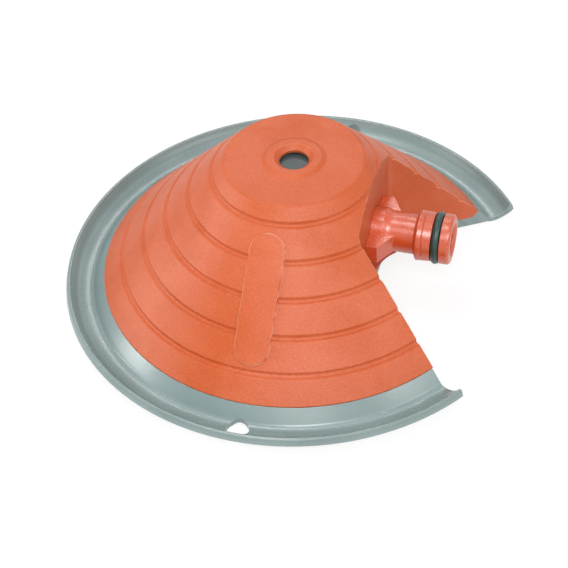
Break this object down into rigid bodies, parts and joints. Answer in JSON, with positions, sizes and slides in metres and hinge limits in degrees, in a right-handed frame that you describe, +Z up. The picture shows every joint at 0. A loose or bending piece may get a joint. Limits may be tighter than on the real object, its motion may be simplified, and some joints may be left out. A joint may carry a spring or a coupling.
{
  "type": "pyramid sprinkler",
  "caption": "Static lawn sprinkler: a stepped plastic cone on a round dished base, with a hose spigot in a wedge-shaped bay and a spray outlet in its flat top.",
  "frame": {"origin": "on the cone's axis at ground level, halfway between the two peg holes", "axes": "+Z up along the cone's axis, +X along the hose spigot and out of the bay, +Y towards one peg hole"},
  "size_m": [0.1462, 0.1602, 0.0528],
  "materials": {
    "orange_shell": "satin",
    "grey_base": "satin",
    "orange_gloss": "gloss",
    "seal_rubber": "matt",
    "inner_grey": "satin",
    "core_grey": "satin",
    "screw_steel": "zinc plated"
  },
  "bodies": {
    "root": {"cone_shell": "orange_shell", "base_plate": "grey_base", "hose_spigot": "orange_gloss", "spigot_o_ring": "seal_rubber", "tail_o_ring": "seal_rubber", "spigot_clip": "inner_grey", "swirl_chamber": "inner_grey", "swirl_core": "core_grey", "chamber_gasket": "seal_rubber", "chamber_screws": "screw_steel", "base_screws": "screw_steel"}
  },
  "joints": []
}
